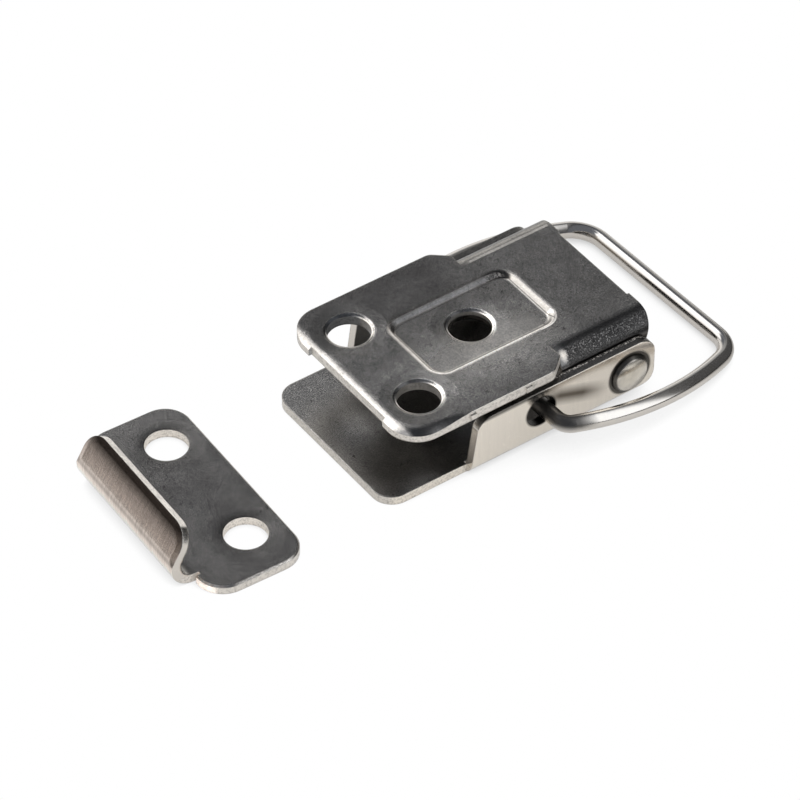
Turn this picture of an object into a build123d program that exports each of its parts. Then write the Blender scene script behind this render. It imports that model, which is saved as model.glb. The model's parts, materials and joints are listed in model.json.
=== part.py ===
from build123d import *
from math import asin, atan, degrees, radians, tan
import os

# Over-centre toggle latch and its catch plate.  The latch lies closed on its lever, with the
# mounting face of the base plate up and the bail laid out past the pivot.
# Millimetres and degrees.  X runs from the base plate's tail towards the bail, Y across, and Z = 0
# is the surface that the lever, the crossbar of the bail and the catch plate lie on.

# ---- stock ----------------------------------------------------------------------------------
base_sheet = 1.2            # base plate
lever_sheet = 1.0           # lever
catch_sheet = 1.0           # catch plate
wire_dia = 1.8              # bail
rivet_dia = 3.0             # shanks of the pivot rivets

# ---- base plate -------------------------------------------------------------------------------
base_length = 30.4          # tail to pivot end
flange_width = 21.4         # wide part of the plate
flange_length = 17.4        # tail to where the shoulders start
tail_corner = 3.4           # corner radius of the tail
tail_step = 0.35            # the corners of the tail stand out past its middle
tail_step_half = 6.3        # half the width of the trimmed middle
end_step = 0.25             # the same between the ears
end_step_half = 5.75
shoulder_run = 1.8          # the shoulders slant over this length
shoulder_step = 1.5         # and come in by this much on each side
shoulder_round = 1.2
screw_hole_dia = 4.5        # all five screw holes
screw_pitch = 11.9          # the two tail holes, across
screw_inset = 4.3           # tail edge to the tail holes
centre_hole_inset = 14.85   # tail edge to the hole in the sunk panel
hole_roll_width = 0.32      # rim that piercing draws in round the holes
hole_roll_depth = 0.16
edge_roll = 0.2             # sheared edges are eased by this much
ear_bend = 1.2              # inner radius of the ear bends
ear_shoulder = 2.2          # depth of the ears at their back before they taper to the pivot
ear_front = 0.4             # the same at the pivot end
ear_eye = 2.35              # radius of the ears round the pivot

tail_roll_width = 1.25      # the tail is rolled over on this much of the plate
tail_roll_radius = 2.0
tail_roll_runout = 8.0      # radius on which the roll leaves the sides behind the corners

nib_length = 0.7            # nibs where the blank was parted from its strip
nib_width = 0.25
nib_insets = (7.4, 14.2)    # tail edge to the nibs on the near side

panel_inset = 7.5           # tail edge to the sunk panel
panel_length = 15.1
panel_width = 9.5
panel_corner = 1.8
panel_depth = 0.5
panel_slope = 45.0          # wall of the panel
panel_rim = 0.85            # radius at the rim of the panel
panel_foot = 0.45           # radius at its floor

# ---- heights and pivot --------------------------------------------------------------------------
closed_height = 8.75        # outer face of the lever to the mounting face
pivot_height = 3.55         # outer face of the lever to the pivot axis
pivot_inset = 3.55          # pivot axis in from the pivot end of the base plate

# ---- lever ------------------------------------------------------------------------------------
cheek_gap = 0.15            # play between each ear and its cheek
cheek_overhang = 0.05       # the cheeks stand out past the sides of the base plate
cheek_bend = 0.5            # inner radius of the cheek bends
grip_reach = 2.4            # the grip stands out past the tail of the base plate
grip_step = 0.9             # and is narrower than the cheeks by this much on each side
grip_corner = 2.3
cheek_height = 6.9
cheek_start = 7.2           # tail of the base plate to the foot of the cheeks
cheek_lean = 8.5            # the front edges lean back this far
cheek_front_corner = 1.7
cheek_reach = 3.15          # the cheeks run on past the pivot
cheek_end_corner = 2.0
cheek_end_lift = 0.6        # the cheek ends are trimmed this far off the outer face
web_short = 2.85            # the web stops this far short of the pivot axis
bail_hole_dia = 3.5
bail_hole_back = 11.05      # pivot axis to the bail holes
bail_hole_height = 4.25

# ---- pivot rivets -------------------------------------------------------------------------------
pivot_play = 0.05           # radial, between rivet and cheek
head_play = 0.05            # under the head
head_dia = 4.5
head_face_dia = 3.8
head_height = 0.42
upset_dia = 4.4             # closed head inside the ear
upset_height = 0.7

# ---- bail ---------------------------------------------------------------------------------------
bail_reach = 23.12          # hinge ends to crossbar
bail_spread = 3.63          # middle of the bowed legs out from the cheeks, on the centre line
bail_belly_reach = 10.25    # hinge ends to the middle of the bow
bail_bow = 31.0             # radius of the bowed legs
root_bend = 1.4
bar_bend = 3.47
bail_tip_reach = 3.75       # the wire ends lie this far inside the outer face of the cheeks
bail_drop = 0.35            # the wire hangs this far below the middle of its holes
bail_drift = 0.35           # and lies this far towards the pivot
bail_slide = -0.75          # the loose bail has slid across
bail_skew = 2.03            # and turned by this much

# ---- catch plate --------------------------------------------------------------------------------
catch_width = 25.65
catch_shift = -0.12         # middle of the plate off the middle of its holes
catch_pitch = 14.9          # its two holes, across
catch_front = 4.05          # hole row to the straight edge
catch_back = 7.1            # hole row to the root of the hook
catch_front_corner = 2.9
catch_back_corner = 3.0
hook_width = 18.06
hook_shift = -0.37          # middle of the hook off the middle of the holes
hook_corner = 2.4           # top corners
hook_root_bend = 1.45       # inner radii of the hook, from the plate to the lip
hook_back_height = 0.3      # straight part between them
hook_knee_bend = 0.8
hook_lean = 30.0            # the lip leans back over the plate
hook_lip = 3.4              # straight length of the lip
hook_roll_width = 0.62      # the rim of the lip is rolled over on its outer face
hook_roll_depth = 0.18
hook_notch_width = 0.35     # nick between the hook and the corners of the plate
hook_notch_depth = 0.5
catch_distance = 15.62      # tail of the base plate to the hole row
catch_offset = 2.18         # middle of the catch plate off the latch's middle
catch_yaw = -2.26

# ---- places that follow ---------------------------------------------------------------------------
wire_r = wire_dia / 2
mount_z = closed_height
under_z = closed_height - base_sheet
cheek_outer = flange_width / 2 + cheek_overhang
cheek_inner = cheek_outer - lever_sheet
ear_outer = cheek_inner - cheek_gap
ear_inner = ear_outer - base_sheet
ear_start = flange_length + shoulder_run
shoulder_half = flange_width / 2 - shoulder_step
pivot_x = base_length - pivot_inset
cheek_end = pivot_x + cheek_reach
web_end = pivot_x - web_short
bail_hole_x = pivot_x - bail_hole_back
bail_axis_z = bail_hole_height - bail_drop
bail_tilt = degrees(asin((bail_axis_z - wire_r) / bail_reach))


def folded_channel(half_width, sheet, bend, web_z, edge_z, x_from, x_to):
    """Length of sheet with both sides folded: the web's outer face at web_z, free edges at edge_z."""
    inward = sheet if edge_z > web_z else -sheet
    inner_half = half_width - sheet
    with BuildSketch(Plane.YZ) as section:
        with BuildLine():
            outer = FilletPolyline((-half_width, edge_z), (-half_width, web_z), (half_width, web_z),
                                   (half_width, edge_z), radius=bend + sheet)
            inner = FilletPolyline((-inner_half, edge_z), (-inner_half, web_z + inward),
                                   (inner_half, web_z + inward), (inner_half, edge_z), radius=bend)
            Line(outer @ 0, inner @ 0)
            Line(outer @ 1, inner @ 1)
        make_face()
    return Pos(x_from, 0, 0) * extrude(section.sketch, x_to - x_from)


def across(sketch, width):
    """Side view drawn in X and Z, made into a solid of this width about the middle."""
    return extrude(Plane.XZ * sketch, width / 2, both=True)


def drill(x, y, diameter):
    """Upright cutter through the whole latch."""
    return Pos(x, y, 0) * Cylinder(diameter / 2, 4 * closed_height)


def cross_drill(x, z, diameter):
    """Cutter across the whole latch."""
    return Pos(x, 0, z) * Rot(X=90) * Cylinder(diameter / 2, 4 * cheek_outer)


def pierce(x, y, z):
    """Cutter for a screw hole whose rim at height z is drawn in by the punch."""
    hole_r = screw_hole_dia / 2
    rim = Cone(hole_r, hole_r + hole_roll_width, hole_roll_depth,
               align=(Align.CENTER, Align.CENTER, Align.MAX))
    return drill(x, y, screw_hole_dia) + Pos(x, y, z) * rim


def base_blank():
    """Flat part of the base plate: flange with a rounded tail, and slanted shoulders at the ears."""
    half = flange_width / 2
    with BuildSketch() as outline:
        with BuildLine():
            Polyline((-tail_step, half), (-tail_step, -half), (flange_length, -half),
                     (ear_start, -shoulder_half), (ear_start, shoulder_half),
                     (flange_length, half), (-tail_step, half))
        make_face()
        fillet(outline.vertices().group_by(Axis.X)[0], tail_corner)
        fillet(outline.vertices().filter_by_position(Axis.X, flange_length - 1, flange_length + 1),
               shoulder_round)
        with Locations((-tail_step, 0)):
            Rectangle(2 * tail_step, 2 * tail_step_half, mode=Mode.SUBTRACT)
    return Pos(0, 0, under_z) * extrude(outline.sketch, base_sheet)


def ears():
    """The pivot end: plate and ears in one folded length, the ears tapering to round eyes."""
    channel = folded_channel(ear_outer, base_sheet, ear_bend, mount_z, 0, ear_start, base_length)
    with BuildSketch() as side:
        with BuildLine():
            CenterArc((pivot_x, pivot_height), ear_eye, 0, 360)
            Polyline((ear_start, mount_z - ear_shoulder), (ear_start, mount_z), (base_length, mount_z),
                     (base_length, mount_z - ear_front))
        make_hull()
    return channel & across(side.sketch, 2 * flange_width)


def tail_roll():
    """Cutter for the rolled-over tail: an arc that meets the face smoothly, swept round the near corner."""
    half = flange_width / 2
    with BuildLine() as route:
        corner = CenterArc((tail_corner, tail_corner - half), tail_corner, 180, 90)
        Line(corner @ 0, (0, half))
        CenterArc((tail_corner, -half - tail_roll_runout), tail_roll_runout, 90, -60)
    reach = 2 * tail_roll_width
    depth = tail_roll_radius - (tail_roll_radius ** 2 - tail_roll_width ** 2) ** 0.5
    with BuildSketch(Plane.XZ) as section:
        with BuildLine():
            arc = CenterArc((tail_roll_width, mount_z - tail_roll_radius), tail_roll_radius, 90, 60)
            Polyline(arc @ 1, (-reach, (arc @ 1).Y), (-reach, mount_z + depth),
                     (tail_roll_width, mount_z + depth), arc @ 0)
        make_face()
    return Pos(-tail_step, 0, 0) * sweep(section.sketch, route.wires()[0])


def panel(depth_from, inset, height):
    """Tapered block of the sunk panel: its top at depth_from, drawn in all round by inset."""
    outline = RectangleRounded(panel_length - 2 * inset, panel_width - 2 * inset, panel_corner - inset / 2)
    middle = panel_inset + panel_length / 2
    return Pos(middle, 0, depth_from) * extrude(outline, -height, taper=panel_slope)


def panel_edges(solid, z, x_from, x_to):
    """Edges of the sunk panel's outline at height z."""
    level = solid.edges().filter_by_position(Axis.Z, z - 0.01, z + 0.01)
    inside = level.filter_by_position(Axis.X, x_from, x_to)
    reach = panel_width / 2 + 0.01
    return inside.filter_by_position(Axis.Y, -reach, reach)


def nibs():
    """Parting nibs on the near side, half the sheet thick."""
    height = base_sheet / 2
    mark = Box(nib_length, 2 * nib_width, height)
    return [Pos(inset, -flange_width / 2, mount_z - height) * mark for inset in nib_insets]


def base_plate():
    """Base plate, folded from one sheet: flange, sunk panel, screw holes and the two ears."""
    body = base_blank() + ears() + nibs()
    body -= Pos(base_length, 0, mount_z) * Box(2 * end_step, 2 * end_step_half, 4 * base_sheet)
    body += panel(under_z, base_sheet * tan(radians(panel_slope / 2)), panel_depth)
    body -= panel(mount_z, 0, panel_depth)
    panel_end = panel_inset + panel_length
    body = fillet(panel_edges(body, mount_z, panel_inset - 0.01, panel_end + 0.01), panel_rim)
    body = fillet(panel_edges(body, mount_z - panel_depth, panel_inset, panel_end), panel_foot)
    body -= tail_roll()
    body -= pierce(centre_hole_inset, 0, mount_z - panel_depth)
    for side in (-1, 1):
        body -= pierce(screw_inset, side * screw_pitch / 2, mount_z)
    body -= cross_drill(pivot_x, pivot_height, rivet_dia)
    return body


def cheek_side():
    """Side view of the lever: web below, cheeks with a leaning front edge and rounded ends."""
    lean = cheek_height * tan(radians(cheek_lean))
    with BuildSketch() as side:
        with BuildLine():
            Polyline((cheek_start, 0), (cheek_start + lean, cheek_height), (cheek_end, cheek_height),
                     (cheek_end, cheek_end_lift), (web_end, cheek_end_lift), (web_end, 0), (cheek_start, 0))
        make_face()
        top = side.vertices().group_by(Axis.Y)[-1].sort_by(Axis.X)
        fillet(top[0], cheek_front_corner)
        fillet(top[-1], cheek_end_corner)
        fillet(side.vertices().group_by(Axis.X)[-1], cheek_end_corner)
    return side.sketch


def lever():
    """Lever, folded from one sheet: grip, web and two cheeks that straddle the ears."""
    channel = folded_channel(cheek_outer, lever_sheet, cheek_bend, 0, cheek_height,
                             cheek_start - 1, cheek_end)
    body = channel & across(cheek_side(), 4 * cheek_outer)
    trim = Pos(web_end, 0, 0) * Box(cheek_end - web_end, 2 * cheek_inner, lever_sheet + cheek_bend,
                                    align=(Align.MIN, Align.CENTER, Align.MIN))
    body -= trim
    grip_end = cheek_start + lever_sheet * tan(radians(cheek_lean)) + 0.01
    grip_width = 2 * (cheek_outer - grip_step)
    grip = RectangleRounded(2 * (grip_end + grip_reach), grip_width, grip_corner)
    grip &= Pos(-grip_end - grip_reach, 0) * Rectangle(2 * (grip_end + grip_reach), grip_width)
    body += Pos(grip_end, 0, 0) * extrude(grip, lever_sheet)
    body -= cross_drill(bail_hole_x, bail_hole_height, bail_hole_dia)
    body -= cross_drill(pivot_x, pivot_height, rivet_dia + 2 * pivot_play)
    return body


def pivot_rivet(side):
    """Headed rivet through one cheek, closed up inside the ear; side is -1 near, 1 far."""
    head_z = cheek_outer + head_play
    with BuildSketch(Plane.XZ) as half:
        Polygon((0, head_z + head_height), (head_face_dia / 2, head_z + head_height), (head_dia / 2, head_z),
                (rivet_dia / 2, head_z), (rivet_dia / 2, ear_inner), (upset_dia / 2, ear_inner),
                (upset_dia / 2, ear_inner - upset_height), (0, ear_inner - upset_height), align=None)
    turned = revolve(half.sketch, Axis.Z)
    return Pos(pivot_x, 0, pivot_height) * Rot(X=-90 * side) * turned


def wire_bail():
    """Bail bent from one wire: straight hinge ends, bowed legs and a crossbar."""
    belly = cheek_outer + bail_spread
    root = belly - bail_bow + (bail_bow ** 2 - bail_belly_reach ** 2) ** 0.5
    bar = belly - bail_bow + (bail_bow ** 2 - (bail_reach - bail_belly_reach) ** 2) ** 0.5
    with BuildSketch() as ring:
        with BuildLine():
            Line((0, -root), (0, root))
            ThreePointArc((0, root), (bail_belly_reach, belly), (bail_reach, bar))
            Line((bail_reach, bar), (bail_reach, -bar))
            ThreePointArc((bail_reach, -bar), (bail_belly_reach, -belly), (0, -root))
        make_face()
        fillet(ring.vertices().group_by(Axis.X)[0], root_bend)
        fillet(ring.vertices().group_by(Axis.X)[-1], bar_bend)
    route = ring.sketch.face().outer_wire()
    start = Plane(origin=route @ 0, z_dir=route % 0)
    bail = sweep(start * Circle(wire_r), route)
    bail -= Box(4 * wire_r, 2 * (cheek_outer - bail_tip_reach), 4 * wire_r)
    seat = Pos(bail_hole_x + bail_drift, 0, bail_axis_z) * Rot(Z=bail_skew)
    return seat * Pos(0, bail_slide, 0) * Rot(Y=bail_tilt) * bail


def hook():
    """Hook of the catch plate: sheet bent up, then back over its own root into a lip with a rolled rim."""
    with BuildSketch() as side:
        with BuildLine() as inner:
            floor = Line((catch_sheet - catch_back, catch_sheet), (-catch_back, catch_sheet))
            root = JernArc(floor @ 1, floor % 1, hook_root_bend, -90)
            back = Line(root @ 1, (root @ 1) + (0, hook_back_height))
            knee = JernArc(back @ 1, back % 1, hook_knee_bend, -hook_lean)
            lip = Line(knee @ 1, (knee @ 1) + (knee % 1) * hook_lip)
            offset(inner.line, catch_sheet, side=Side.LEFT)
        make_face()
    tip = lip @ 1
    along = lip % 1
    rolled = Plane(origin=(tip.X, 0, tip.Y), x_dir=(0, 1, 0), z_dir=(-along.Y, 0, along.X))
    rolled = rolled.offset(catch_sheet - hook_roll_depth)
    reach = 3 * catch_back
    front = rolled * Pos(hook_shift, reach / 2) * RectangleRounded(hook_width, reach, hook_corner)
    slope = degrees(atan(hook_roll_width / hook_roll_depth))
    bounds = extrude(front, -catch_back) + extrude(front, hook_roll_depth, taper=slope)
    return across(side.sketch, 2 * hook_width) & bounds


def catch_plate():
    """Catch plate: flat plate with two screw holes and the hook that the bail pulls on."""
    length = catch_front + catch_back
    with BuildSketch() as outline:
        with Locations(((catch_front - catch_back) / 2, catch_shift)):
            Rectangle(length, catch_width)
        fillet(outline.vertices().group_by(Axis.X)[-1], catch_front_corner)
        fillet(outline.vertices().group_by(Axis.X)[0], catch_back_corner)
    body = extrude(outline.sketch, catch_sheet)
    top = body.faces().sort_by(Axis.Z)[-1].edges()
    body = chamfer(top.filter_by(lambda e: e.center().X > -catch_back + 0.01), edge_roll)
    body += hook()
    for side in (-1, 1):
        notch_y = hook_shift + side * (hook_width + hook_notch_width) / 2
        body -= Pos(-catch_back, notch_y, 0) * Box(2 * hook_notch_depth, hook_notch_width, 4 * catch_sheet)
        body -= drill(0, side * catch_pitch / 2, screw_hole_dia)
    return Pos(-catch_distance, catch_offset, 0) * Rot(Z=catch_yaw) * body


pieces = {
    "base_plate": base_plate(),
    "lever": lever(),
    "near_rivet": pivot_rivet(-1),
    "far_rivet": pivot_rivet(1),
    "wire_bail": wire_bail(),
    "catch_plate": catch_plate(),
}

# The origin is the middle of everything, on the surface that it lies on.
extent = Compound(children=[Part(piece.wrapped) for piece in pieces.values()]).bounding_box()
origin = Pos(extent.center().X, extent.center().Y, 0).inverse()

os.makedirs("parts", exist_ok=True)
for name, piece in pieces.items():
    export_step(origin * piece, f"parts/{name}.step")
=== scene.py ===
import json
import math

import bpy
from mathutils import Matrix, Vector

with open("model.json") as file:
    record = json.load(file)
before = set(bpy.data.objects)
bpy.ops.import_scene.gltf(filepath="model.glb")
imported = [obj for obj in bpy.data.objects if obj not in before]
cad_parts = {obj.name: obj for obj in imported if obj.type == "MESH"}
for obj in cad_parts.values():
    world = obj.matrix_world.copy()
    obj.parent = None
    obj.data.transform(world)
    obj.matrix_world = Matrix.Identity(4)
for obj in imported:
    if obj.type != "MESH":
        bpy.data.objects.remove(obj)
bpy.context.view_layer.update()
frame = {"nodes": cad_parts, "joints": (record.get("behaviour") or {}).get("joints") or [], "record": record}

MM = 0.001

# ---- places from the frame ----------------------------------------------------------------------
joints = {joint["name"]: joint for joint in frame["joints"]}
mounts = {mount["name"]: mount for mount in frame["record"]["mounts"]}

PIVOT = Vector(joints["lever_pivot"]["pos_m"])
TAIL_SCREWS = Vector(mounts["base_screws"]["pos_m"])
TAIL_PITCH = mounts["base_screws"]["dims"]["spacing_y_mm"] * MM
CENTRE_HOLE = Vector(mounts["centre_screw"]["pos_m"])
CATCH_SCREWS = Vector(mounts["catch_screws"]["pos_m"])
CATCH_PITCH = mounts["catch_screws"]["dims"]["pcd_mm"] * MM
SCREW_RADIUS = mounts["centre_screw"]["dims"]["r_mm"] * MM

# ---- viewpoint ----------------------------------------------------------------------------------
# The camera is placed from the middle of the two tail holes in the mounting face. Its angles are in
# degrees, its lens and sensor in millimetres.
CAMERA_FROM_SCREWS = Vector((-196.72, -278.57, 312.85)) * MM
CAMERA_TILT = 47.02
CAMERA_TURN = -35.50
CAMERA_LENS = 210.9
CAMERA_SENSOR = 36.0
CAMERA_NEAREST = 0.01
CAMERA_FARTHEST = 20.0


def add_camera():
    data = bpy.data.cameras.new("view")
    data.lens = CAMERA_LENS
    data.sensor_width = CAMERA_SENSOR
    data.clip_start = CAMERA_NEAREST
    data.clip_end = CAMERA_FARTHEST
    camera = bpy.data.objects.new("view", data)
    camera.location = TAIL_SCREWS + CAMERA_FROM_SCREWS
    camera.rotation_euler = (math.radians(CAMERA_TILT), 0.0, math.radians(CAMERA_TURN))
    bpy.context.collection.objects.link(camera)
    bpy.context.scene.camera = camera


# ---- node helpers -------------------------------------------------------------------------------
class Tree:
    """A node tree, with short calls for the nodes used here."""

    def __init__(self, tree):
        self.tree = tree

    def feed(self, socket, value):
        if isinstance(value, bpy.types.NodeSocket):
            self.tree.links.new(value, socket)
        else:
            socket.default_value = value

    def add(self, kind, inputs=(), **settings):
        node = self.tree.nodes.new(kind)
        for key, value in settings.items():
            setattr(node, key, value)
        for key, value in dict(inputs).items():
            self.feed(node.inputs[key], value)
        return node

    def parts(self, vector):
        return self.add("ShaderNodeSeparateXYZ", {0: vector}).outputs

    def math(self, operation, a, b=0.0):
        return self.add("ShaderNodeMath", {0: a, 1: b}, operation=operation).outputs[0]

    def dot(self, vector, way):
        """How far the vector goes this way."""
        node = self.add("ShaderNodeVectorMath", {0: vector, 1: way}, operation="DOT_PRODUCT")
        return node.outputs["Value"]


class Surface(Tree):
    """A material that knows where each of its points lies in the part's frame and how it faces."""

    def __init__(self, name):
        self.material = bpy.data.materials.new(name)
        self.material.use_nodes = True
        super().__init__(self.material.node_tree)
        self.tree.nodes.clear()
        self.output = self.add("ShaderNodeOutputMaterial")
        coordinates = self.add("ShaderNodeTexCoord")
        self.place = coordinates.outputs["Object"]
        self.x, self.y, self.z = self.parts(self.place)
        self.facing = coordinates.outputs["Normal"]
        self.face_x, self.face_y, self.face_z = self.parts(self.facing)

    def product(self, *values):
        result = values[0]
        for value in values[1:]:
            result = self.math("MULTIPLY", result, value)
        return result

    def total(self, *values):
        result = values[0]
        for value in values[1:]:
            result = self.math("ADD", result, value)
        return result

    def size(self, value):
        return self.math("ABSOLUTE", value)

    def rise(self, value, low, high, to_low=0.0, to_high=1.0):
        """Goes from to_low to to_high while the value goes from low to high, up or down."""
        node = self.add("ShaderNodeMapRange", {"Value": value, "From Min": low, "From Max": high,
                                               "To Min": to_low, "To Max": to_high})
        return node.outputs["Result"]

    def within(self, value, low, high, soft):
        """1 between low and high, falling to 0 over the soft edge outside them."""
        return self.product(self.rise(value, low - soft, low), self.rise(value, high + soft, high))

    def distance(self, a, middle_a, b, middle_b):
        """Distance from a line that runs along the third axis."""
        aside = self.math("SUBTRACT", a, middle_a)
        above = self.math("SUBTRACT", b, middle_b)
        return self.math("SQRT", self.total(self.product(aside, aside), self.product(above, above)))

    def blend(self, share, first, second):
        """The first shader, and the second one where the share is 1."""
        return self.add("ShaderNodeMixShader", {0: share, 1: first, 2: second}).outputs[0]

    def scaled(self, scale, stretch=(1, 1, 1), turn=(0, 0, 0)):
        """The place, counted in features of which this many fit in a millimetre."""
        mapping = self.add("ShaderNodeMapping", {"Vector": self.place})
        mapping.inputs["Scale"].default_value = [scale / MM * share for share in stretch]
        mapping.inputs["Rotation"].default_value = [math.radians(angle) for angle in turn]
        return mapping.outputs[0]

    def noise(self, scale, detail, roughness, stretch=(1, 1, 1), turn=(0, 0, 0)):
        """Noise in real lengths: scale is in features per millimetre."""
        texture = self.add("ShaderNodeTexNoise", {"Vector": self.scaled(scale, stretch, turn),
                                                  "Scale": 1.0, "Detail": detail,
                                                  "Roughness": roughness})
        return texture.outputs["Fac"]

    def hairlines(self, scale, width, share, turn=(40, 30, 70)):
        """1 along thin curves of which this share is left, 0 elsewhere."""
        middle, core = 0.5, 0.3
        gap_scale, gap_edge = 0.8, 0.04
        winding = self.noise(scale, detail=2.0, roughness=0.55, turn=turn)
        line = self.rise(self.size(self.math("SUBTRACT", winding, middle)), width, width * core)
        gaps = self.noise(scale * gap_scale, detail=2.0, roughness=0.5)
        return self.product(line, self.rise(gaps, 1 - share, 1 - share + gap_edge))

    def specks(self, scale, radius):
        """1 on small scattered dots, 0 elsewhere."""
        core = 0.5
        cells = self.add("ShaderNodeTexVoronoi", {"Vector": self.scaled(scale), "Scale": 1.0})
        return self.rise(cells.outputs["Distance"], radius, radius * core)


class Metal(Surface):
    """Bright nickel: its colour, gloss, relief and scatter start even, and each zone changes them."""

    NICKEL = (0.68, 0.64, 0.59)
    EDGE_SAMPLES = 6

    def __init__(self, name, roughness, soft_edge):
        """Light meets the edges as if they were rounded by soft_edge."""
        super().__init__(name)
        self.colour = (*self.NICKEL, 1.0)
        self.roughness = roughness
        self.relief = 0.0
        self.metal = 1.0
        self.soft_edge = soft_edge

    def zone(self, mask, tint=None, gloss=0.0, relief=0.0, scatter=0.0):
        """Changes the finish where the mask is 1.

        The tint multiplies the colour, gloss adds to the roughness, and relief to the height in
        millimetres. Scatter is the share of metal made pale from every side: torn or burnished metal,
        and painted highlights.
        """
        if tint is not None:
            tone = tint if isinstance(tint, tuple) else (tint, tint, tint)
            mix = self.add("ShaderNodeMix", {0: mask}, data_type="RGBA", blend_type="MULTIPLY")
            self.feed(mix.inputs[6], self.colour)
            self.feed(mix.inputs[7], (*tone, 1.0))
            self.colour = mix.outputs[2]
        if gloss:
            self.roughness = self.total(self.roughness, self.product(mask, gloss))
        if relief:
            self.relief = self.total(self.relief, self.product(mask, relief))
        if scatter:
            self.metal = self.product(self.metal, self.rise(mask, 0.0, 1.0, 1.0, 1.0 - scatter))

    def finish(self):
        edge = self.add("ShaderNodeBevel", {"Radius": self.soft_edge}, samples=self.EDGE_SAMPLES)
        bump = self.add("ShaderNodeBump", {"Height": self.relief, "Distance": MM, "Strength": 1.0,
                                           "Normal": edge.outputs[0]})
        shader = self.add("ShaderNodeBsdfPrincipled", {
            "Base Color": self.colour, "Metallic": self.metal, "Roughness": self.roughness,
            "Normal": bump.outputs["Normal"]})
        self.feed(self.output.inputs["Surface"], shader.outputs[0])
        return self.material


# ---- all sheets ---------------------------------------------------------------------------------
# In the finishes, a pair of numbers says where a zone starts and where it is full, and three say
# between which two it is full and how wide its edge is. They are places in the part's frame,
# distances, levels of noise, or how far the surface faces along an axis (from -1 to 1).
SHEET_ROUGHNESS = 0.14
SHEET_EDGE = 0.22 * MM
FLAT = (0.3, 0.7)
MOTTLE = (0.62, 0.35)
GRAIN = (0.60, 0.40)
WAVES = (0.2, 0.8)

UNDERSIDE = (-0.5, -0.7)
# How far the surface faces the middle plane, times its distance from it.
INWARD = (-0.002, -0.004)

CUT_FACE = (0.4, 0.3)
CUT_SOFT = 0.1 * MM
CUT_GRAINS = (0.46, 0.70)


def sheet(name):
    """Plated sheet: mottled gloss, fine grain, hairline scratches and a few bright specks."""
    n = Metal(name, SHEET_ROUGHNESS, SHEET_EDGE)
    flat = n.rise(n.size(n.face_z), *FLAT)
    mottle = n.rise(n.noise(scale=0.35, detail=8.0, roughness=0.72), *MOTTLE)
    n.zone(n.product(flat, mottle), tint=0.72, gloss=0.03)
    grain = n.rise(n.noise(scale=5.0, detail=4.0, roughness=0.8), *GRAIN)
    n.zone(n.product(flat, grain), tint=0.68, relief=0.005)
    waves = n.rise(n.noise(scale=0.09, detail=1.5, roughness=0.4), *WAVES)
    n.zone(waves, relief=0.09)
    dark_lines = n.hairlines(scale=0.6, width=0.008, share=0.50)
    n.zone(n.product(flat, dark_lines), tint=0.48, relief=-0.003)
    bright_lines = n.hairlines(scale=0.9, width=0.006, share=0.40, turn=(10, 60, 20))
    n.zone(bright_lines, tint=1.25, relief=0.003)
    n.zone(n.specks(scale=0.85, radius=0.05), tint=1.4, relief=0.02)
    return n


def shade_inside_faces(n):
    """Faces that look down or into the channel are rougher, and a painted shade makes them darker and bluer.
    """
    under = n.rise(n.face_z, *UNDERSIDE)
    inward = n.rise(n.product(n.face_y, n.y), *INWARD)
    # Painted shade: darker and bluer where the faces look down or inward.
    n.zone(n.math("MAXIMUM", under, inward), tint=(0.80, 0.85, 0.92), gloss=0.2)


def sheared(n, low, high, pale):
    """Cut edges between these heights are torn: pale, with dark grains."""
    cut = n.product(n.rise(n.size(n.face_z), *CUT_FACE), n.within(n.z, low, high, CUT_SOFT))
    n.zone(cut, tint=1.1, gloss=0.15, scatter=pale)
    grains = n.rise(n.noise(scale=4.0, detail=3.0, roughness=0.7), *CUT_GRAINS)
    n.zone(n.product(cut, grains), tint=0.55, relief=0.02)


# ---- screw holes --------------------------------------------------------------------------------
# Distances past the edge of the hole.
DRAWN_WIDE = (0.3 * MM, 1.7 * MM)
DRAWN_STEEP = (-0.1 * MM, 0.40 * MM)
RIM = (-0.10 * MM, 0.10 * MM, 0.06 * MM)
RIM_HIGHLIGHT = (0.55 * MM, 0.30 * MM)
BORE = (0.15 * MM, 0.05 * MM)

RIM_FACE = (0.2, 0.5)
RIM_HIGHLIGHT_FACE = (0.3, 0.6)
BORE_FACE = (0.6, 0.4)
# Distances from the middle of the hole, along Y and along X.
RIM_NEAR_Y = (1.9 * MM, 1.0 * MM)
RIM_HIGHLIGHT_X = (0.6 * MM, 1.6 * MM)


def pair(middle, way, pitch):
    """The middles of two holes this far apart, the far one first."""
    return tuple(middle + way * side * pitch / 2 for side in (1, -1))


def past_edge(n, hole):
    """Distance past the edge of a screw hole, negative inside it."""
    return n.total(n.distance(n.x, hole.x, n.y, hole.y), -SCREW_RADIUS)


def drawn_down(n, hole, wide, steep):
    """The punch draws the sheet down round a screw hole."""
    past = past_edge(n, hole)
    n.zone(n.rise(past, *DRAWN_WIDE), relief=wide)
    n.zone(n.rise(past, *DRAWN_STEEP), relief=steep)


def pale_rim_and_highlight(n, hole):
    """The burnished rim of a screw hole is painted pale as a highlight, except on its far side, and
    brightest towards the pivot.
    """
    past = past_edge(n, hole)
    near = n.rise(n.total(n.y, -hole.y), *RIM_NEAR_Y)
    # Painted highlight on the burnished rim, left off its far side.
    n.zone(n.product(n.within(past, *RIM), n.rise(n.face_z, *RIM_FACE), near),
           tint=1.9, gloss=0.1, scatter=0.9)
    # Brighter painted highlight on the rim towards the pivot.
    lit = n.product(n.rise(n.total(n.x, -hole.x), *RIM_HIGHLIGHT_X), n.rise(n.face_z, *RIM_HIGHLIGHT_FACE))
    n.zone(n.product(lit, n.rise(past, *RIM_HIGHLIGHT)), tint=2.2)


def bore(n, hole):
    """1 on the wall of a screw hole."""
    return n.product(n.rise(past_edge(n, hole), *BORE), n.rise(n.face_z, *BORE_FACE))


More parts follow.
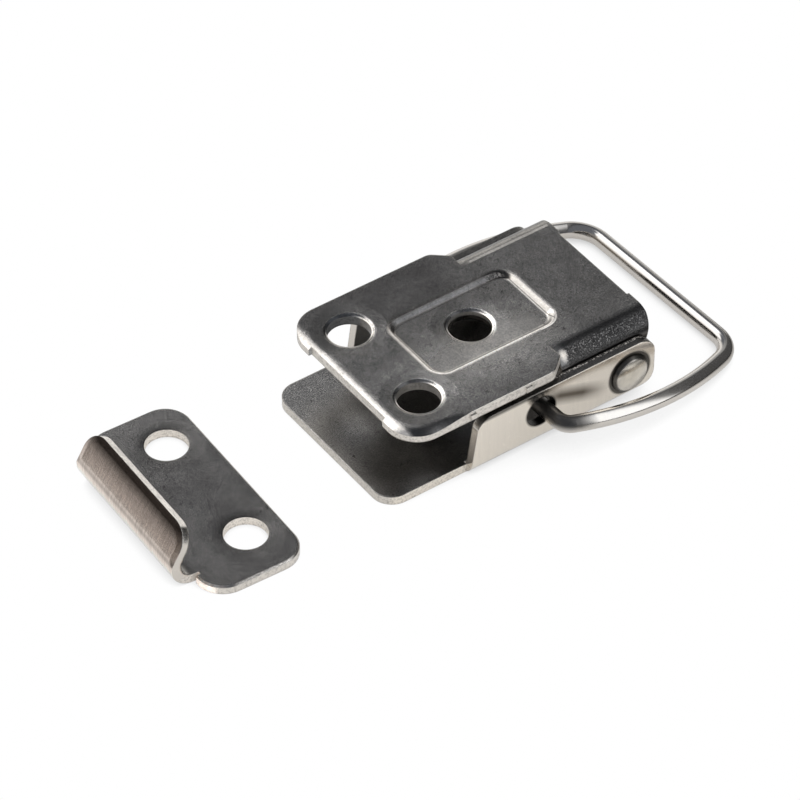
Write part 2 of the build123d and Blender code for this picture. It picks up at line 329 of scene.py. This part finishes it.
# ---- base plate ---------------------------------------------------------------------------------
TAIL_HOLES = pair(TAIL_SCREWS, Vector((0, 1, 0)), TAIL_PITCH)
BASE_TOP = (0.80, 0.97)
# Where a painted shade darkens the far side of the tail.
FAR_SHADE_X = (12.0 * MM, 9.0 * MM)
FAR_SHADE_Y = (4.2 * MM, 5.6 * MM)
# A dull haze on the near side, painted lighter as a pool of light.
LIT_HAZE_MIDDLE = Vector((7.0, -4.0, 0)) * MM
LIT_HAZE_SQUEEZE = 0.45
LIT_HAZE_RADIUS = (6.5 * MM, 1.5 * MM)
LIT_HAZE_END = (17.0 * MM, 13.0 * MM)
FAR_HAZE_X = (11.0 * MM, 14.0 * MM)
FAR_HAZE_Y = (7.5 * MM, 9.5 * MM)
PANEL_HAZE_X = (0.6 * MM, 14.6 * MM, 0.3 * MM)
PANEL_HAZE_Y = (-4.0 * MM, 4.6 * MM, 0.3 * MM)

WALL_X = (0.0, 15.3 * MM, 0.05 * MM)
WALL_Y = (-4.55 * MM, 4.4 * MM, 0.1 * MM)
WALL_Z = (8.2 * MM, 8.25 * MM)
WALL_SLOPE = (0.985, 0.93)
WALL_NOT_FAR = (-0.25, -0.1)
WALL_END = (-0.2, -0.4)
CREASE_X = (14.74 * MM, 14.78 * MM, 0.06 * MM)

PANEL_MIDDLE = CENTRE_HOLE + Vector((0.2, 0, 0)) * MM
PANEL_HALF = Vector((7.55, 4.75, 0)) * MM
PANEL_ROUND = 1.8 * MM
PANEL_LINE = (PANEL_ROUND + 0.02 * MM, PANEL_ROUND + 0.20 * MM, 0.22 * MM)
PANEL_LINE_SIDE = (-0.10, 0.15)
PANEL_LINE_Z = (8.3 * MM, 8.4 * MM)

ROLL_X = (-6.4 * MM, -6.9 * MM)
ROLL_Z = (7.0 * MM, 7.4 * MM)
ROLL_OUTWARD = (-0.15, -0.35)
ROLL_UPWARD = (0.15, 0.3)

FAR_LINE_X = (12.8 * MM, 22.5 * MM, 0.5 * MM)
FAR_LINE_Z = (8.0 * MM, 8.3 * MM)
FAR_LINE_FACE = (0.06, 0.12, 0.05)

BASE_DRAWN = 0.09
BASE_CUT = (7.7 * MM, 8.6 * MM)

EAR_START = Vector((12.5, -8.45, 0)) * MM
EAR_START_RADIUS = (0.58 * MM, 0.20 * MM)
EAR_START_FACE = (0.98, 0.9)
NEARWARD_Z = (6.0 * MM, 6.5 * MM)
NEARWARD = (-0.08, -0.25)
NEARWARD_UP = (0.02, 0.2)
FAR_WALL_X = (-0.2 * MM, 15.4 * MM, 0.1 * MM)
FAR_WALL_Y = (3.3 * MM, 5.4 * MM, 0.1 * MM)
BEND_X = (12.4 * MM, 13.0 * MM)
BEND_Z = (5.5 * MM, 6.0 * MM)
BEND_FACE = (-0.10, -0.30)
BEND_MIDDLE = (-0.86, -0.50, 0.12)
BEND_FADE_X = (23.0 * MM, 14.0 * MM)
BEND_LEAST = 0.45
BEND_GRAINS = (0.42, 0.62)
FARWARD_Z = (6.5 * MM, 7.0 * MM)
FARWARD = (0.30, 0.50)
EAR_SIDE_Z = (6.8 * MM, 6.2 * MM)
EAR_SIDE = (0.9, 0.97)


def base_top(n):
    """A painted shade darkens the mounting face, most along the far side of the tail. It has dull hazes, and
    the one on the near side is painted lighter too, as a pool of light.
    """
    top = n.rise(n.face_z, *BASE_TOP)
    # Painted shade darkens the whole mounting face.
    n.zone(top, tint=0.71)
    # Deeper painted shade along the far side of the tail.
    n.zone(n.product(top, n.rise(n.y, *FAR_SHADE_Y), n.rise(n.x, *FAR_SHADE_X)), tint=0.70)
    # A dull haze, painted lighter as a pool of light.
    along = n.product(n.total(n.x, -LIT_HAZE_MIDDLE.x), LIT_HAZE_SQUEEZE)
    haze = n.rise(n.distance(along, 0.0, n.y, LIT_HAZE_MIDDLE.y), *LIT_HAZE_RADIUS)
    n.zone(n.product(top, haze, n.rise(n.x, *LIT_HAZE_END)), tint=1.85, gloss=0.13)
    far_haze = n.product(n.rise(n.x, *FAR_HAZE_X), n.rise(n.y, *FAR_HAZE_Y))
    n.zone(n.product(top, far_haze), gloss=0.085)
    panel = n.product(n.within(n.x, *PANEL_HAZE_X), n.within(n.y, *PANEL_HAZE_Y))
    n.zone(n.product(top, panel), gloss=0.045)


def panel_walls(n):
    """The sunk panel's walls are painted pale as a highlight, most at its pivot end, with a painted shade in
    the crease there.
    """
    wall = n.product(n.within(n.x, *WALL_X), n.within(n.y, *WALL_Y), n.rise(n.face_z, *WALL_SLOPE),
                     n.rise(n.face_y, *WALL_NOT_FAR), n.rise(n.z, *WALL_Z))
    # Painted highlight on the panel's walls.
    n.zone(wall, tint=1.40, gloss=0.06, scatter=0.40)
    # Stronger painted highlight on the wall at the pivot end.
    n.zone(n.product(wall, n.rise(n.face_x, *WALL_END)), tint=1.45, scatter=0.60)
    # Painted shade in the crease at the pivot end.
    n.zone(n.product(wall, n.within(n.x, *CREASE_X)), tint=0.25)


def tail_roll_highlight(n):
    """A painted highlight lies along the rolled edge of the tail."""
    roll = n.product(n.rise(n.x, *ROLL_X), n.rise(n.face_x, *ROLL_OUTWARD), n.rise(n.z, *ROLL_Z))
    # Painted highlight on the rolled edge.
    n.zone(n.product(roll, n.rise(n.face_z, *ROLL_UPWARD)), tint=3.0, scatter=0.75)


def beyond(n, value, limit):
    """How far the value's size goes past the limit."""
    return n.math("MAXIMUM", n.math("SUBTRACT", n.size(value), limit), 0.0)


def panel_rim_highlight(n):
    """A painted highlight follows the rim of the panel along its near side and its tail end."""
    aside = n.math("SUBTRACT", n.x, PANEL_MIDDLE.x)
    above = n.math("SUBTRACT", n.y, PANEL_MIDDLE.y)
    out = n.distance(beyond(n, aside, PANEL_HALF.x - PANEL_ROUND), 0.0,
                     beyond(n, above, PANEL_HALF.y - PANEL_ROUND), 0.0)
    side = n.total(n.math("DIVIDE", aside, -PANEL_HALF.x), n.math("DIVIDE", above, -PANEL_HALF.y))
    # Painted highlight along the panel's rim.
    n.zone(n.product(n.within(out, *PANEL_LINE), n.rise(side, *PANEL_LINE_SIDE),
                     n.rise(n.z, *PANEL_LINE_Z)), tint=1.6, scatter=0.45)


def far_bend_highlight(n):
    """A painted highlight runs along the start of the far bend."""
    line = n.product(n.within(n.face_y, *FAR_LINE_FACE), n.within(n.x, *FAR_LINE_X))
    # Painted highlight at the start of the far bend.
    n.zone(n.product(line, n.rise(n.z, *FAR_LINE_Z)), tint=1.7, scatter=0.35)


def nearward_faces(n, beside):
    """Faces that lean to the near side get a painted shade, but the panel's far wall is painted lighter."""
    lean = n.product(n.rise(n.face_y, *NEARWARD), n.rise(n.face_z, *NEARWARD_UP), beside,
                     n.rise(n.z, *NEARWARD_Z))
    # Painted shade on faces that lean to the near side.
    n.zone(lean, tint=(0.30, 0.31, 0.33), gloss=0.10)
    far_wall = n.product(lean, n.within(n.x, *FAR_WALL_X), n.within(n.y, *FAR_WALL_Y))
    # The panel's far wall is painted lighter again.
    n.zone(far_wall, tint=(1.9, 1.83, 1.75))


def near_bend(n, beside):
    """A painted shade blackens the bend of the near ear, with painted glints on its grains that fade towards
    its end.
    """
    bend = n.product(n.rise(n.x, *BEND_X), n.rise(n.z, *BEND_Z), beside)
    # Painted shade blackens the near bend.
    n.zone(n.product(bend, n.rise(n.face_y, *BEND_FACE)), tint=0.35)
    fade = n.rise(n.x, *BEND_FADE_X, BEND_LEAST, 1.0)
    middle = n.product(n.within(n.face_y, *BEND_MIDDLE), bend, fade)
    grains = n.rise(n.noise(scale=6.0, detail=2.0, roughness=0.6), *BEND_GRAINS)
    # Painted glints on the bend's grains.
    n.zone(n.product(middle, grains), tint=5.0, relief=0.05, scatter=0.45)


def ear_light_and_shade(n):
    """Painted shade darkens both bends and the sides of the ears, with a painted highlight where the near
    bend starts.
    """
    # Where the painted highlight lies at the start of the near bend.
    spot = n.rise(n.distance(n.x, EAR_START.x, n.y, EAR_START.y), *EAR_START_RADIUS)
    start = n.product(spot, n.rise(n.face_z, *EAR_START_FACE))
    beside = n.rise(start, 0.0, 1.0, 1.0, 0.0)
    nearward_faces(n, beside)
    near_bend(n, beside)
    # Painted highlight where the near bend starts.
    n.zone(start, tint=1.5, scatter=0.85)
    far_bend = n.product(n.rise(n.face_y, *FARWARD), n.rise(n.z, *FARWARD_Z))
    # Painted shade on the far bend.
    n.zone(far_bend, tint=0.30, gloss=0.10)
    sides = n.product(n.rise(n.size(n.face_y), *EAR_SIDE), n.rise(n.z, *EAR_SIDE_Z))
    # Painted shade on the sides of the ears.
    n.zone(sides, tint=0.25, gloss=0.1)


def base_finish():
    n = sheet("base_finish")
    shade_inside_faces(n)
    base_top(n)
    panel_walls(n)
    tail_roll_highlight(n)
    panel_rim_highlight(n)
    far_bend_highlight(n)
    for hole in (*TAIL_HOLES, CENTRE_HOLE):
        drawn_down(n, hole, wide=BASE_DRAWN, steep=BASE_DRAWN)
        pale_rim_and_highlight(n, hole)
        # Painted shade darkens the wall inside each screw hole.
        n.zone(bore(n, hole), tint=0.30, gloss=0.1)
    sheared(n, *BASE_CUT, pale=0.65)
    ear_light_and_shade(n)
    return n.finish()


# ---- lever and rivets ---------------------------------------------------------------------------
HEAD_RADIUS = 2.25 * MM

LEVER_CUT = (0.0, 0.95 * MM)
CHEEK = (0.7, 0.9)
CHEEK_STROKES = (0.35, 0.65)
CHEEK_TOP_X = (9.5 * MM, 8.0 * MM)
CHEEK_TOP_Z = (6.35 * MM, 6.7 * MM)
UPWARD = (0.5, 0.8)
WEB_X = (-5.0 * MM, -0.5 * MM)
WEB_Z = (1.5 * MM, 1.2 * MM)
CHEEK_RIM_Z = (4.0 * MM, 4.5 * MM)
DOTS = (0.48, 0.58)
DOTS_Y = (-9.70 * MM, -9.50 * MM, 0.1 * MM)
HEAD_SHADE = (HEAD_RADIUS + 0.5 * MM, HEAD_RADIUS + 0.25 * MM)
BAIL_HOLE = PIVOT + Vector((-11.05, 0, 0.70)) * MM
BAIL_HOLE_SHADE = (2.0 * MM, 1.75 * MM)
# Where the painted reflection of the bail's leg runs on the cheeks.
LEG_REFLECTION_FROM = Vector((9.4, 0, 5.55)) * MM
LEG_REFLECTION_TO = Vector((17.4, 0, 2.65)) * MM
LEG_REFLECTION_START = 1.4 * MM
LEG_REFLECTION_STOP = 4.0 * MM
LEG_REFLECTION_FADE = 3.6 * MM
LEG_REFLECTION_HALF = 0.10 * MM
LEG_REFLECTION_SOFT = 1.2 * MM

RIVET_ROUGHNESS = 0.20
RIVET_EDGE = 0.25 * MM
SHOULDER = (HEAD_RADIUS - 0.42 * MM, HEAD_RADIUS - 0.28 * MM)
PATCHES = (0.40, 0.62)


def from_pivot(n):
    return n.distance(n.x, PIVOT.x, n.z, PIVOT.z)


def cheek_sides(n, sideways):
    """The cheeks are brushed upright, their sides painted pale with light, and dark at the top under the
    flange.
    """
    strokes = n.noise(scale=3.5, detail=3.0, roughness=0.6, stretch=(1, 1, 0.07))
    n.zone(n.product(sideways, n.rise(strokes, *CHEEK_STROKES)), tint=0.965, gloss=0.03)
    # Painted light makes the sides of the cheeks pale.
    n.zone(sideways, tint=(1.26, 1.24, 1.20))
    under = n.product(sideways, n.rise(n.z, *CHEEK_TOP_Z), n.rise(n.x, *CHEEK_TOP_X))
    n.zone(under, tint=0.22)


def web(n):
    """A painted shade darkens the web under the base plate."""
    floor_face = n.product(n.rise(n.z, *WEB_Z), n.rise(n.face_z, *UPWARD))
    # Painted shade on the web under the base plate.
    n.zone(n.product(floor_face, n.rise(n.x, *WEB_X)), tint=0.45)


def cheek_rims(n):
    """The upper edges of the cheeks carry a painted shade, the near one with a row of bright dots."""
    rim = n.product(n.rise(n.z, *CHEEK_RIM_Z), n.rise(n.face_z, *UPWARD))
    # Painted shade on the upper edges of the cheeks.
    n.zone(rim, tint=0.35, gloss=0.1)
    dots = n.rise(n.noise(scale=6.0, detail=1.0, roughness=0.5), *DOTS)
    n.zone(n.product(rim, dots, n.within(n.y, *DOTS_Y)), tint=3.5, scatter=0.5)


def cheek_shades(n, sideways):
    """It is dark round the rivet's head and in the bail's hole."""
    n.zone(n.product(n.rise(from_pivot(n), *HEAD_SHADE), sideways), tint=0.12, gloss=0.2)
    hole = n.rise(n.distance(n.x, BAIL_HOLE.x, n.z, BAIL_HOLE.z), *BAIL_HOLE_SHADE)
    n.zone(hole, tint=0.12, gloss=0.1)


def leg_reflection(n, sideways):
    """A brown streak slants down the cheeks from the bail's hole: a painted dark reflection of the bail's
    leg.
    """
    way = (LEG_REFLECTION_TO - LEG_REFLECTION_FROM).normalized()
    run = n.total(n.math("MULTIPLY", n.x, way.x), n.math("MULTIPLY", n.z, way.z))
    off = n.total(n.math("MULTIPLY", n.x, -way.z), n.math("MULTIPLY", n.z, way.x))
    middle = LEG_REFLECTION_FROM.z * way.x - LEG_REFLECTION_FROM.x * way.z
    start = LEG_REFLECTION_FROM.dot(way) + LEG_REFLECTION_START
    stop = LEG_REFLECTION_TO.dot(way) - LEG_REFLECTION_STOP
    streak = n.product(n.within(off, middle - LEG_REFLECTION_HALF, middle + LEG_REFLECTION_HALF, LEG_REFLECTION_SOFT), sideways,
                       n.within(run, start, stop, LEG_REFLECTION_FADE))
    # Painted dark reflection of the bail's leg on the cheeks.
    n.zone(streak, tint=(0.16, 0.145, 0.13), gloss=0.06)


def lever_finish():
    n = sheet("lever_finish")
    shade_inside_faces(n)
    sheared(n, *LEVER_CUT, pale=0.20)
    sideways = n.rise(n.size(n.face_y), *CHEEK)
    cheek_sides(n, sideways)
    web(n)
    cheek_rims(n)
    cheek_shades(n, sideways)
    leg_reflection(n, sideways)
    return n.finish()


def rivet_finish(name):
    """Domed head with a painted shade on its shoulder, painted lighter towards its middle, and faint
    patches.
    """
    n = Metal(name, RIVET_ROUGHNESS, RIVET_EDGE)
    out = from_pivot(n)
    # Painted shade on the head's shoulder.
    n.zone(n.rise(out, *SHOULDER), tint=0.2, gloss=0.15)
    dome = n.rise(n.product(out, out), HEAD_RADIUS ** 2, 0.0)
    # Painted lighter towards the middle of the head.
    n.zone(dome, tint=(1.15, 1.14, 1.08), relief=0.50)
    patches = n.rise(n.noise(scale=1.0, detail=3.0, roughness=0.5), *PATCHES)
    n.zone(patches, tint=0.88, gloss=0.05)
    return n.finish()


# ---- bail ---------------------------------------------------------------------------------------
WIRE_ROUGHNESS = 0.14
WIRE_EDGE = 0.05 * MM
CLOUDS = (0.3, 0.7)
WIRE_INSIDE_Y = (10.9 * MM, 10.4 * MM)
WIRE_ROOT_X = (12.5 * MM, 10.5 * MM)
WIRE_ROOT_FACE = (-0.3, 0.3)
WIRE_DARK_X = (14.0 * MM, 13.0 * MM)


def wire_finish():
    """Drawn wire with faint clouds, and a painted shade where it enters the cheeks."""
    n = Metal("wire_finish", WIRE_ROUGHNESS, WIRE_EDGE)
    clouds = n.rise(n.noise(scale=1.2, detail=4.0, roughness=0.6), *CLOUDS)
    n.zone(clouds, tint=(0.95, 0.96, 0.99), gloss=0.03)
    inside = n.rise(n.size(n.y), *WIRE_INSIDE_Y)
    root = n.product(n.rise(n.x, *WIRE_ROOT_X), n.rise(n.face_z, *WIRE_ROOT_FACE))
    dark = n.product(n.math("MAXIMUM", inside, root), n.rise(n.x, *WIRE_DARK_X))
    # Painted shade where the wire enters the cheeks.
    n.zone(dark, tint=0.25, gloss=0.2)
    return n.finish()


# ---- catch plate --------------------------------------------------------------------------------
# Seen from above, the plate lies turned clockwise by this much.
CATCH_TURN = math.radians(2.26)
CATCH_ALONG = Vector((math.cos(CATCH_TURN), -math.sin(CATCH_TURN), 0))
CATCH_ACROSS = Vector((math.sin(CATCH_TURN), math.cos(CATCH_TURN), 0))
CATCH_HOLES = pair(CATCH_SCREWS, CATCH_ACROSS, CATCH_PITCH)
CATCH_TOP = (0.9, 0.98)
CATCH_NEAR_Y = (11.5 * MM, 7.5 * MM)
CATCH_FAR_Y = (9.5 * MM, 12.5 * MM)
CATCH_CUT = (0.0, 0.95 * MM)
CATCH_DRAWN_WIDE = 0.06
CATCH_DRAWN_STEEP = 0.03
HOLE_SHADE = (1.3 * MM, 0.1 * MM)
HOLE_SHADE_Y = (-0.6 * MM, 1.6 * MM)

HOOK_X = (-26.5 * MM, -27.0 * MM)
# The hook's lip leans back over the plate: its outer face looks outward and its rim upward.
HOOK_LEAN = math.radians(30)
HOOK_OUT = Vector((0, 0, math.sin(HOOK_LEAN))) - CATCH_ALONG * math.cos(HOOK_LEAN)
HOOK_UP = Vector((0, 0, math.cos(HOOK_LEAN))) + CATCH_ALONG * math.sin(HOOK_LEAN)
HOOK_OUTWARD = (0.55, 0.70)
DRAW_MARKS = (0.3, 0.7)
# Heights and places of the painted reflection bands and shade on the hook's outer face.
BROWN_Z = (3.5 * MM, 4.2 * MM)
DARK_Z = (4.3 * MM, 5.3 * MM)
BLACK_Z = (5.2 * MM, 6.1 * MM)
CORNER_Y = (-6.9 * MM, -8.3 * MM)
CORNER_Z = (2.4 * MM, 3.4 * MM)
LINE_Z = (3.1 * MM, 3.3 * MM, 0.3 * MM)
BRIGHT_Z = (2.8 * MM, 1.2 * MM)

HOOK_UPWARD = (0.90, 0.95)
HOOK_RIM_Z = (3.0 * MM, 3.4 * MM)
RIM_STROKES = (0.35, 0.65)


def catch_top(n):
    """A painted shade darkens the plate's top, less towards its far end, which is duller."""
    top = n.rise(n.face_z, *CATCH_TOP)
    # Painted shade on the plate's top.
    n.zone(top, tint=0.68)
    # Deeper painted shade on its nearer part.
    n.zone(n.product(top, n.rise(n.y, *CATCH_NEAR_Y)), tint=0.80)
    n.zone(n.product(top, n.rise(n.y, *CATCH_FAR_Y)), gloss=0.03)
    return top


def catch_hole(n, hole, top):
    """A screw hole with a pale wall, and a shade on the plate behind it."""
    drawn_down(n, hole, wide=CATCH_DRAWN_WIDE, steep=CATCH_DRAWN_STEEP)
    behind = n.product(n.rise(n.total(n.y, -hole.y), *HOLE_SHADE_Y), top)
    n.zone(n.product(behind, n.rise(past_edge(n, hole), *HOLE_SHADE)), tint=0.45)
    n.zone(bore(n, hole), tint=1.3, scatter=0.45)


def hook_face(n, hook):
    """The outer face of the hook has draw marks, with painted reflection in bands on it: black above, bright
    below.
    """
    outer = n.product(n.rise(n.dot(n.facing, HOOK_OUT), *HOOK_OUTWARD), hook)
    # Painted reflection tints the outer face.
    n.zone(outer, tint=(0.98, 0.91, 0.89), gloss=0.10)
    marks = n.noise(scale=7.0, detail=3.0, roughness=0.6, stretch=(0.06, 1, 0.06), turn=(0, 0, 4))
    n.zone(n.product(outer, n.rise(marks, *DRAW_MARKS)), tint=1.5, relief=0.004)
    # Painted reflection bands up the lip, painted shade at the near corner, and a painted bright band low
    # down.
    n.zone(n.product(outer, n.rise(n.z, *BROWN_Z)), tint=(0.86, 0.83, 0.82))
    n.zone(n.product(outer, n.rise(n.z, *DARK_Z)), tint=0.66)
    n.zone(n.product(outer, n.rise(n.z, *BLACK_Z)), tint=(0.12, 0.11, 0.105))
    n.zone(n.product(outer, n.rise(n.y, *CORNER_Y), n.rise(n.z, *CORNER_Z)), tint=0.25)
    n.zone(n.product(outer, n.within(n.z, *LINE_Z)), tint=0.62)
    n.zone(n.product(outer, n.rise(n.z, *BRIGHT_Z)), tint=1.8)


def hook_rim(n, hook):
    """The cut rim of the hook is torn and bright, with fine strokes along it."""
    rim = n.product(n.rise(n.dot(n.facing, HOOK_UP), *HOOK_UPWARD), n.rise(n.z, *HOOK_RIM_Z), hook)
    n.zone(rim, tint=1.8, gloss=0.2, scatter=0.9)
    strokes = n.noise(scale=8.0, detail=2.0, roughness=0.6, stretch=(1, 0.05, 1))
    n.zone(n.product(rim, n.rise(strokes, *RIM_STROKES)), tint=0.80, relief=0.01)


def catch_finish():
    n = sheet("catch_finish")
    top = catch_top(n)
    sheared(n, *CATCH_CUT, pale=0.85)
    for hole in CATCH_HOLES:
        catch_hole(n, hole, top)
    hook = n.rise(n.x, *HOOK_X)
    hook_face(n, hook)
    hook_rim(n, hook)
    return n.finish()


def dress(node, material):
    """Gives a CAD node its finish."""
    mesh = frame["nodes"][node].data
    for slot in range(max(1, len(mesh.materials))):
        if len(mesh.materials):
            mesh.materials[slot] = material
        else:
            mesh.materials.append(material)


# ---- table --------------------------------------------------------------------------------------
TABLE_HALF = 1.5
TABLE_DROP = 0.02 * MM
TABLE_TONE = (0.80, 0.80, 0.79)
TABLE_GLOW = 0.55
WHITE = (1, 1, 1, 1)
BLACK = (0, 0, 0, 1)
# The table that the metal mirrors is bright round the pieces. It falls off towards the open room,
# which is this way from the middle, and towards the left.
ROOM_WAY = Vector((math.cos(math.radians(-24)), math.sin(math.radians(-24)), 0.0))
ROOM_FALL = (26 * MM, 44 * MM)
LEFT_WAY = Vector((math.cos(math.radians(155)), math.sin(math.radians(155)), 0.0))
LEFT_FALL = (45 * MM, 125 * MM)
NEAR_DIM, LEFT_DIM = 0.36, 0.80
DIM_TONE = 0.03
# The shadow on the table: it starts where this share of the sky is still open, and this is its
# deepest tone.
SHADOW_REACH = 60 * MM
SHADOW_START = 0.56
SHADOW_TONE = 0.55
SHADOW_SAMPLES = 16


def table_white(n, path):
    """What light and mirrors meet: a white table, which glows for the mirrors and falls off."""
    diffuse = n.add("ShaderNodeBsdfDiffuse", {"Color": (*TABLE_TONE, 1)}).outputs[0]
    glow = n.add("ShaderNodeEmission", {"Color": WHITE, "Strength": TABLE_GLOW}).outputs[0]
    none = n.add("ShaderNodeEmission", {"Color": BLACK, "Strength": 0.0}).outputs[0]
    dimmed = n.add("ShaderNodeEmission", {"Color": WHITE, "Strength": DIM_TONE}).outputs[0]
    mirrored = n.math("MAXIMUM", path.outputs["Is Glossy Ray"], path.outputs["Is Transmission Ray"])
    lit = n.add("ShaderNodeAddShader", {0: diffuse, 1: n.blend(mirrored, none, glow)}).outputs[0]
    roomward = n.rise(n.dot(n.place, ROOM_WAY), *ROOM_FALL)
    leftward = n.rise(n.dot(n.place, LEFT_WAY), *LEFT_FALL, NEAR_DIM, LEFT_DIM)
    dim = n.product(n.math("MAXIMUM", roomward, leftward), mirrored)
    return n.blend(dim, lit, dimmed)


def table_glass(n):
    """What the camera meets: clear glass with the soft shadow of the pieces on it."""
    sky = n.add("ShaderNodeAmbientOcclusion", {"Distance": SHADOW_REACH}, samples=SHADOW_SAMPLES)
    clear = n.rise(sky.outputs["AO"], 0.0, SHADOW_START, SHADOW_TONE, 1.0)
    return n.add("ShaderNodeBsdfTransparent", {"Color": clear}).outputs[0]


def table_finish():
    """White table, but clear glass to the camera, and open to light from below, so that a lever
    that swings below it stays in view and in the light.
    """
    n = Surface("table_white")
    path = n.add("ShaderNodeLightPath")
    from_below = n.add("ShaderNodeNewGeometry").outputs["Backfacing"]
    open_air = n.add("ShaderNodeBsdfTransparent").outputs[0]
    solid = n.blend(from_below, table_white(n, path), open_air)
    seen = n.blend(path.outputs["Is Camera Ray"], solid, table_glass(n))
    n.feed(n.output.inputs["Surface"], seen)
    return n.material


def floor():
    """The table that the pieces lie on."""
    mesh = bpy.data.meshes.new("floor")
    corners = [(-TABLE_HALF, -TABLE_HALF, 0), (TABLE_HALF, -TABLE_HALF, 0),
               (TABLE_HALF, TABLE_HALF, 0), (-TABLE_HALF, TABLE_HALF, 0)]
    mesh.from_pydata(corners, [], [(0, 1, 2, 3)])
    mesh.materials.append(table_finish())
    table = bpy.data.objects.new("floor", mesh)
    table.location.z = -TABLE_DROP
    bpy.context.collection.objects.link(table)


# ---- sky ----------------------------------------------------------------------------------------
# What the bright metal mirrors, besides the table. A disc has its middle's azimuth (from +X towards
# +Y) and elevation and its radius, a window has the ranges of both, all in degrees. Each later area
# covers the earlier ones. Then come the softness of its edge and its tone.
ROOM = (0.150, 0.164, 0.190)
SKY_AREAS = (
    ("high_shade", "disc", (-15, 0, 71), 4, (0.040, 0.043, 0.048)),
    ("high_strip", "disc", (-15, 0, 62), 2.5, (1.55, 1.60, 1.66)),
    ("open_room", "disc", (5, 0, 51), 3.5, (0.080, 0.082, 0.085)),
    ("haze", "window", (36, 64, 2, 33), 5, (0.42, 0.43, 0.44)),
    ("far_backdrop", "window", (29, 114, -20, 8), 4, (1.05, 1.05, 1.04)),
    ("backdrop", "window", (46, 114, -20, 18), 7, (1.05, 1.05, 1.04)),
    ("softbox", "window", (67, 137, 46, 60), 3, (1.95, 2.0, 2.1)),
    ("softbox_foot", "window", (90, 143, 23, 52), 5, (1.6, 1.62, 1.66)),
    ("warm_side", "window", (140, 152, 20, 43), 4, (0.60, 0.56, 0.50)),
    ("left_room", "window", (114, 176, -5, 23), 5, (0.20, 0.18, 0.155)),
    ("left_haze", "window", (150, 205, 28, 46), 5, (0.30, 0.29, 0.28)),
)
DAYLIGHT = (1.0, 1.0, 1.0)
PER_RADIAN = math.degrees(1)
HALF_TURN = 180.0
FULL_TURN = 360.0


def direction(azimuth, elevation):
    turn = math.radians(azimuth)
    rise = math.radians(elevation)
    return Vector((math.cos(turn) * math.cos(rise), math.sin(turn) * math.cos(rise), math.sin(rise)))


class Sky(Tree):
    """World shader: plain white light, with soft areas where the metal mirrors it."""

    def __init__(self):
        world = bpy.data.worlds.new("studio")
        world.use_nodes = True
        bpy.context.scene.world = world
        super().__init__(world.node_tree)
        self.way = self.add("ShaderNodeTexCoord").outputs["Generated"]
        x, y, z = self.parts(self.way)
        self.azimuth = self.math("MULTIPLY", self.math("ARCTAN2", y, x), PER_RADIAN)
        self.elevation = self.math("MULTIPLY", self.math("ARCSINE", z), PER_RADIAN)

    def below(self, value, limit, soft):
        """1 under the limit, falling to 0 over the soft edge."""
        node = self.add("ShaderNodeMapRange", {"Value": value, "From Min": limit + soft,
                                               "From Max": limit - soft},
                        interpolation_type="SMOOTHSTEP")
        return node.outputs["Result"]

    def between(self, value, low, high, soft):
        """1 where the value, counted from the middle of the range, is inside it."""
        return self.below(self.math("ABSOLUTE", value), (high - low) / 2, soft)

    def disc(self, azimuth, elevation, radius, soft):
        nearness = self.dot(self.way, direction(azimuth, elevation))
        angle = self.math("MULTIPLY", self.math("ARCCOSINE", nearness), PER_RADIAN)
        return self.below(angle, radius, soft)

    def window(self, west, east, low, high, soft):
        turned = self.math("SUBTRACT", self.azimuth, (west + east) / 2)
        turned = self.math("ADD", turned, FULL_TURN + HALF_TURN)
        aside = self.math("SUBTRACT", self.math("FLOORED_MODULO", turned, FULL_TURN), HALF_TURN)
        above = self.math("SUBTRACT", self.elevation, (low + high) / 2)
        return self.math("MULTIPLY", self.between(aside, west, east, soft),
                         self.between(above, low, high, soft))

    def mix(self, share, first, second, label):
        """The first colour, and the second one where the share is 1."""
        node = self.add("ShaderNodeMix", {0: share}, data_type="RGBA", label=label)
        for socket, value in ((node.inputs[6], first), (node.inputs[7], second)):
            self.feed(socket, (*value, 1) if isinstance(value, tuple) else value)
        return node.outputs[2]

    def finish(self):
        shapes = {"disc": self.disc, "window": self.window}
        colour = ROOM
        for name, shape, extent, soft, tone in SKY_AREAS:
            colour = self.mix(shapes[shape](*extent, soft), colour, tone, name)
        mirrored = self.add("ShaderNodeLightPath").outputs["Is Glossy Ray"]
        background = self.tree.nodes["Background"]
        self.feed(background.inputs["Color"], self.mix(mirrored, DAYLIGHT, colour, "mirrored"))
        self.feed(background.inputs["Strength"], 1.0)


# ---- scene --------------------------------------------------------------------------------------
dress("base_plate", base_finish())
dress("lever", lever_finish())
dress("catch_plate", catch_finish())
dress("near_rivet", rivet_finish("near_rivet_finish"))
dress("far_rivet", rivet_finish("far_rivet_finish"))
dress("wire_bail", wire_finish())

add_camera()
floor()
Sky().finish()
bpy.context.scene.view_settings.view_transform = "Standard"
